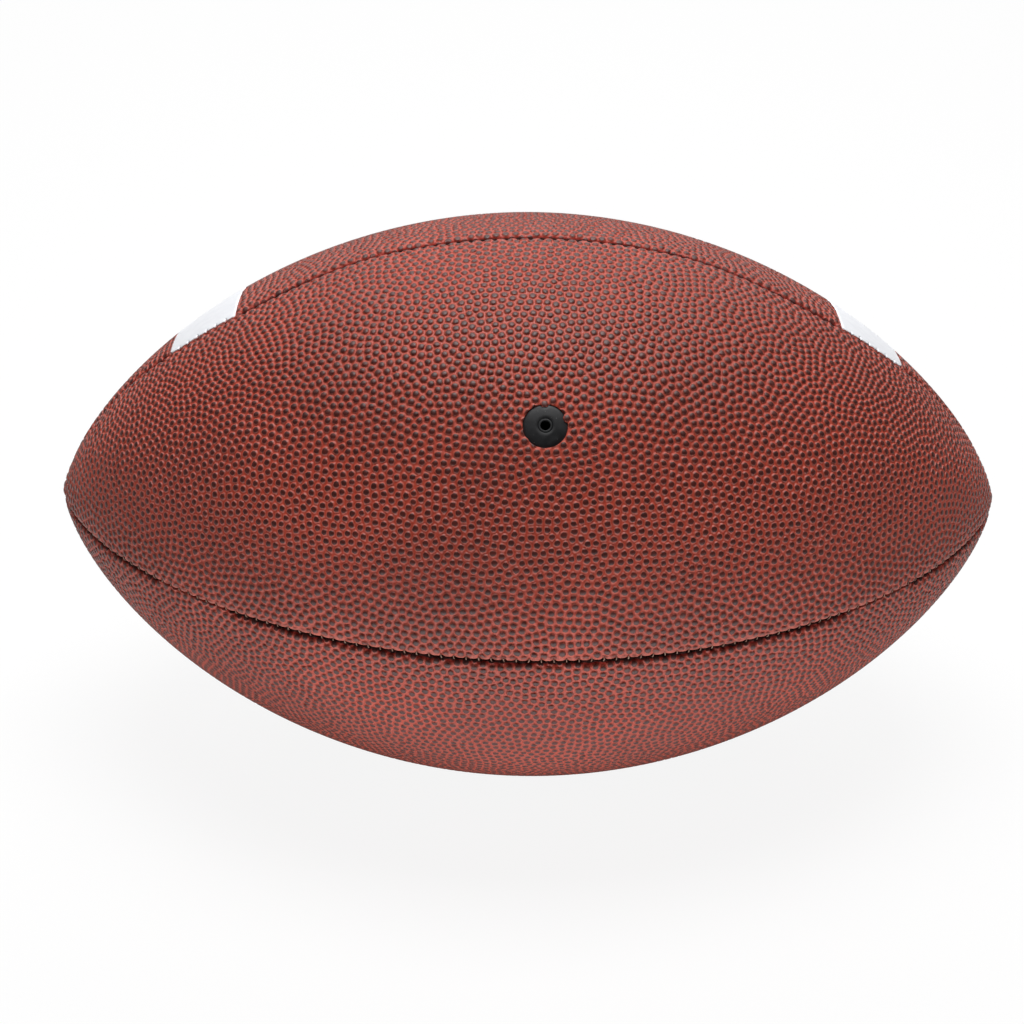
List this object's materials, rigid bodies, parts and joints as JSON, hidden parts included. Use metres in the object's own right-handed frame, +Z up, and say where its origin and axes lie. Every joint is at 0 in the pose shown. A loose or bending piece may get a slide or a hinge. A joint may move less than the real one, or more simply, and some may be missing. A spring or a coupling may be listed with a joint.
{
  "type": "american football",
  "caption": "Laced prolate ball of sewn pebbled panels over cloth linings and a rubber bladder, with an inflation valve and white stripes.",
  "frame": {"origin": "middle of the ball, halfway between its tips and on its long axis", "axes": "+X along the long axis towards the right-hand tip of the picture, +Y towards the laces, +Z up towards the top seam; the picture looks from -Y"},
  "size_m": [0.2844, 0.1744, 0.1716],
  "materials": {
    "cover": "pebbled composite leather, satin",
    "lining": "woven cotton and polyester laminate",
    "thread": "waxed polyester thread",
    "stripe": "smooth white coated strip",
    "facing": "bonded cloth strip",
    "lace": "white textured lace",
    "bladder": "butyl rubber",
    "valve": "matt moulded rubber"
  },
  "bodies": {
    "root": {"valve_panel": "cover", "upper_lace_panel": "cover", "lower_lace_panel": "cover", "front_lower_panel": "cover", "valve_lining": "lining", "upper_lace_lining": "lining", "lower_lace_lining": "lining", "front_lower_lining": "lining", "lace_seam_thread": "thread", "top_seam_thread": "thread", "front_seam_thread": "thread", "bottom_seam_thread": "thread", "upper_left_stripe": "stripe", "upper_right_stripe": "stripe", "lower_left_stripe": "stripe", "lower_right_stripe": "stripe", "upper_lace_facing": "facing", "lower_lace_facing": "facing", "lace_tongue": "facing", "lace": "lace", "bladder": "bladder", "valve_body": "valve", "valve_plug": "valve"}
  },
  "joints": []
}
